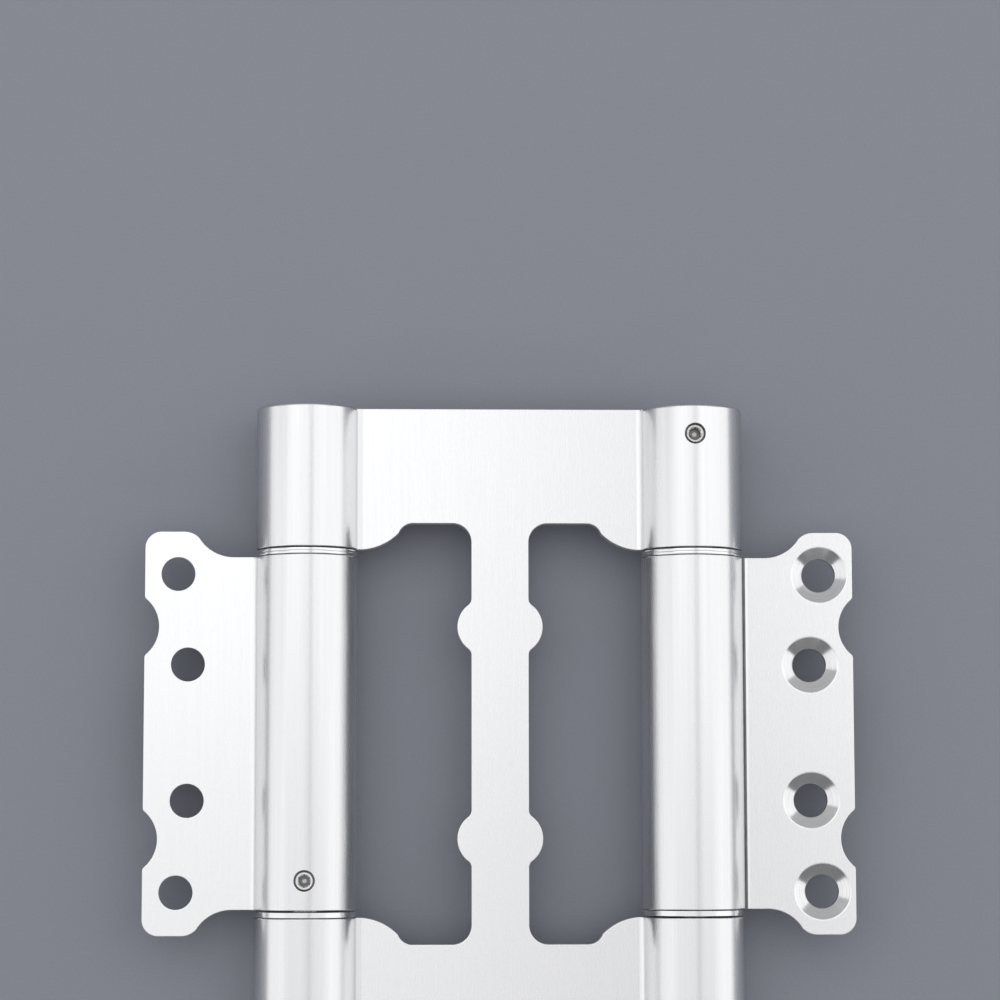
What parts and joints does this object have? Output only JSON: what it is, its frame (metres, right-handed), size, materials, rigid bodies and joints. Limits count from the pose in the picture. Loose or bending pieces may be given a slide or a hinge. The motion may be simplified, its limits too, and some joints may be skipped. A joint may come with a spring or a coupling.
{
  "type": "double action cafe hinge",
  "caption": "Double action spring hinge with a centre web between two barrels and two outer leaves that fold into its windows.",
  "frame": {"origin": "the middle of the web, on the plane of the two barrel axes", "axes": "+X across the barrels towards the right leaf, +Y along the barrels towards their tension plugs, +Z towards the face with the right leaf's countersinks"},
  "size_m": [0.1386, 0.127, 0.02],
  "materials": {
    "satin_steel": "satin, brushed along the barrels",
    "washer_steel": "bright",
    "turned_steel": "fine turned",
    "screw_steel": "machined",
    "spring_steel": "oiled, dark",
    "bush_brass": "turned"
  },
  "bodies": {
    "web": {"web": "satin_steel", "left_upper_set_screw": "screw_steel", "left_tension_plug": "turned_steel", "left_upper_washer": "washer_steel", "left_lower_washer": "washer_steel", "left_bottom_pivot": "turned_steel", "right_upper_set_screw": "screw_steel", "right_tension_plug": "turned_steel", "right_upper_washer": "washer_steel", "right_lower_washer": "washer_steel", "right_bottom_pivot": "turned_steel"},
    "left_leaf": {"left_leaf": "satin_steel", "left_middle_washer": "washer_steel", "left_upper_bush": "bush_brass", "left_torsion_spring": "spring_steel", "left_spring_anchor": "turned_steel", "left_lower_set_screw": "screw_steel", "left_lower_bush": "bush_brass"},
    "right_leaf": {"right_leaf": "satin_steel", "right_middle_washer": "washer_steel", "right_upper_bush": "bush_brass", "right_torsion_spring": "spring_steel", "right_spring_anchor": "turned_steel", "right_lower_set_screw": "screw_steel", "right_lower_bush": "bush_brass"}
  },
  "joints": [
    {"name": "left_barrel", "type": "hinge", "parent": "web", "child": "left_leaf", "pos_m": [-0.03775, 0, 0], "axis": [0, -1, 0], "range_deg": [0, 180], "deforming": ["left_torsion_spring"]},
    {"name": "right_barrel", "type": "hinge", "parent": "web", "child": "right_leaf", "pos_m": [0.03775, 0, 0], "axis": [0, -1, 0], "range_deg": [0, 180], "deforming": ["right_torsion_spring"]}
  ]
}
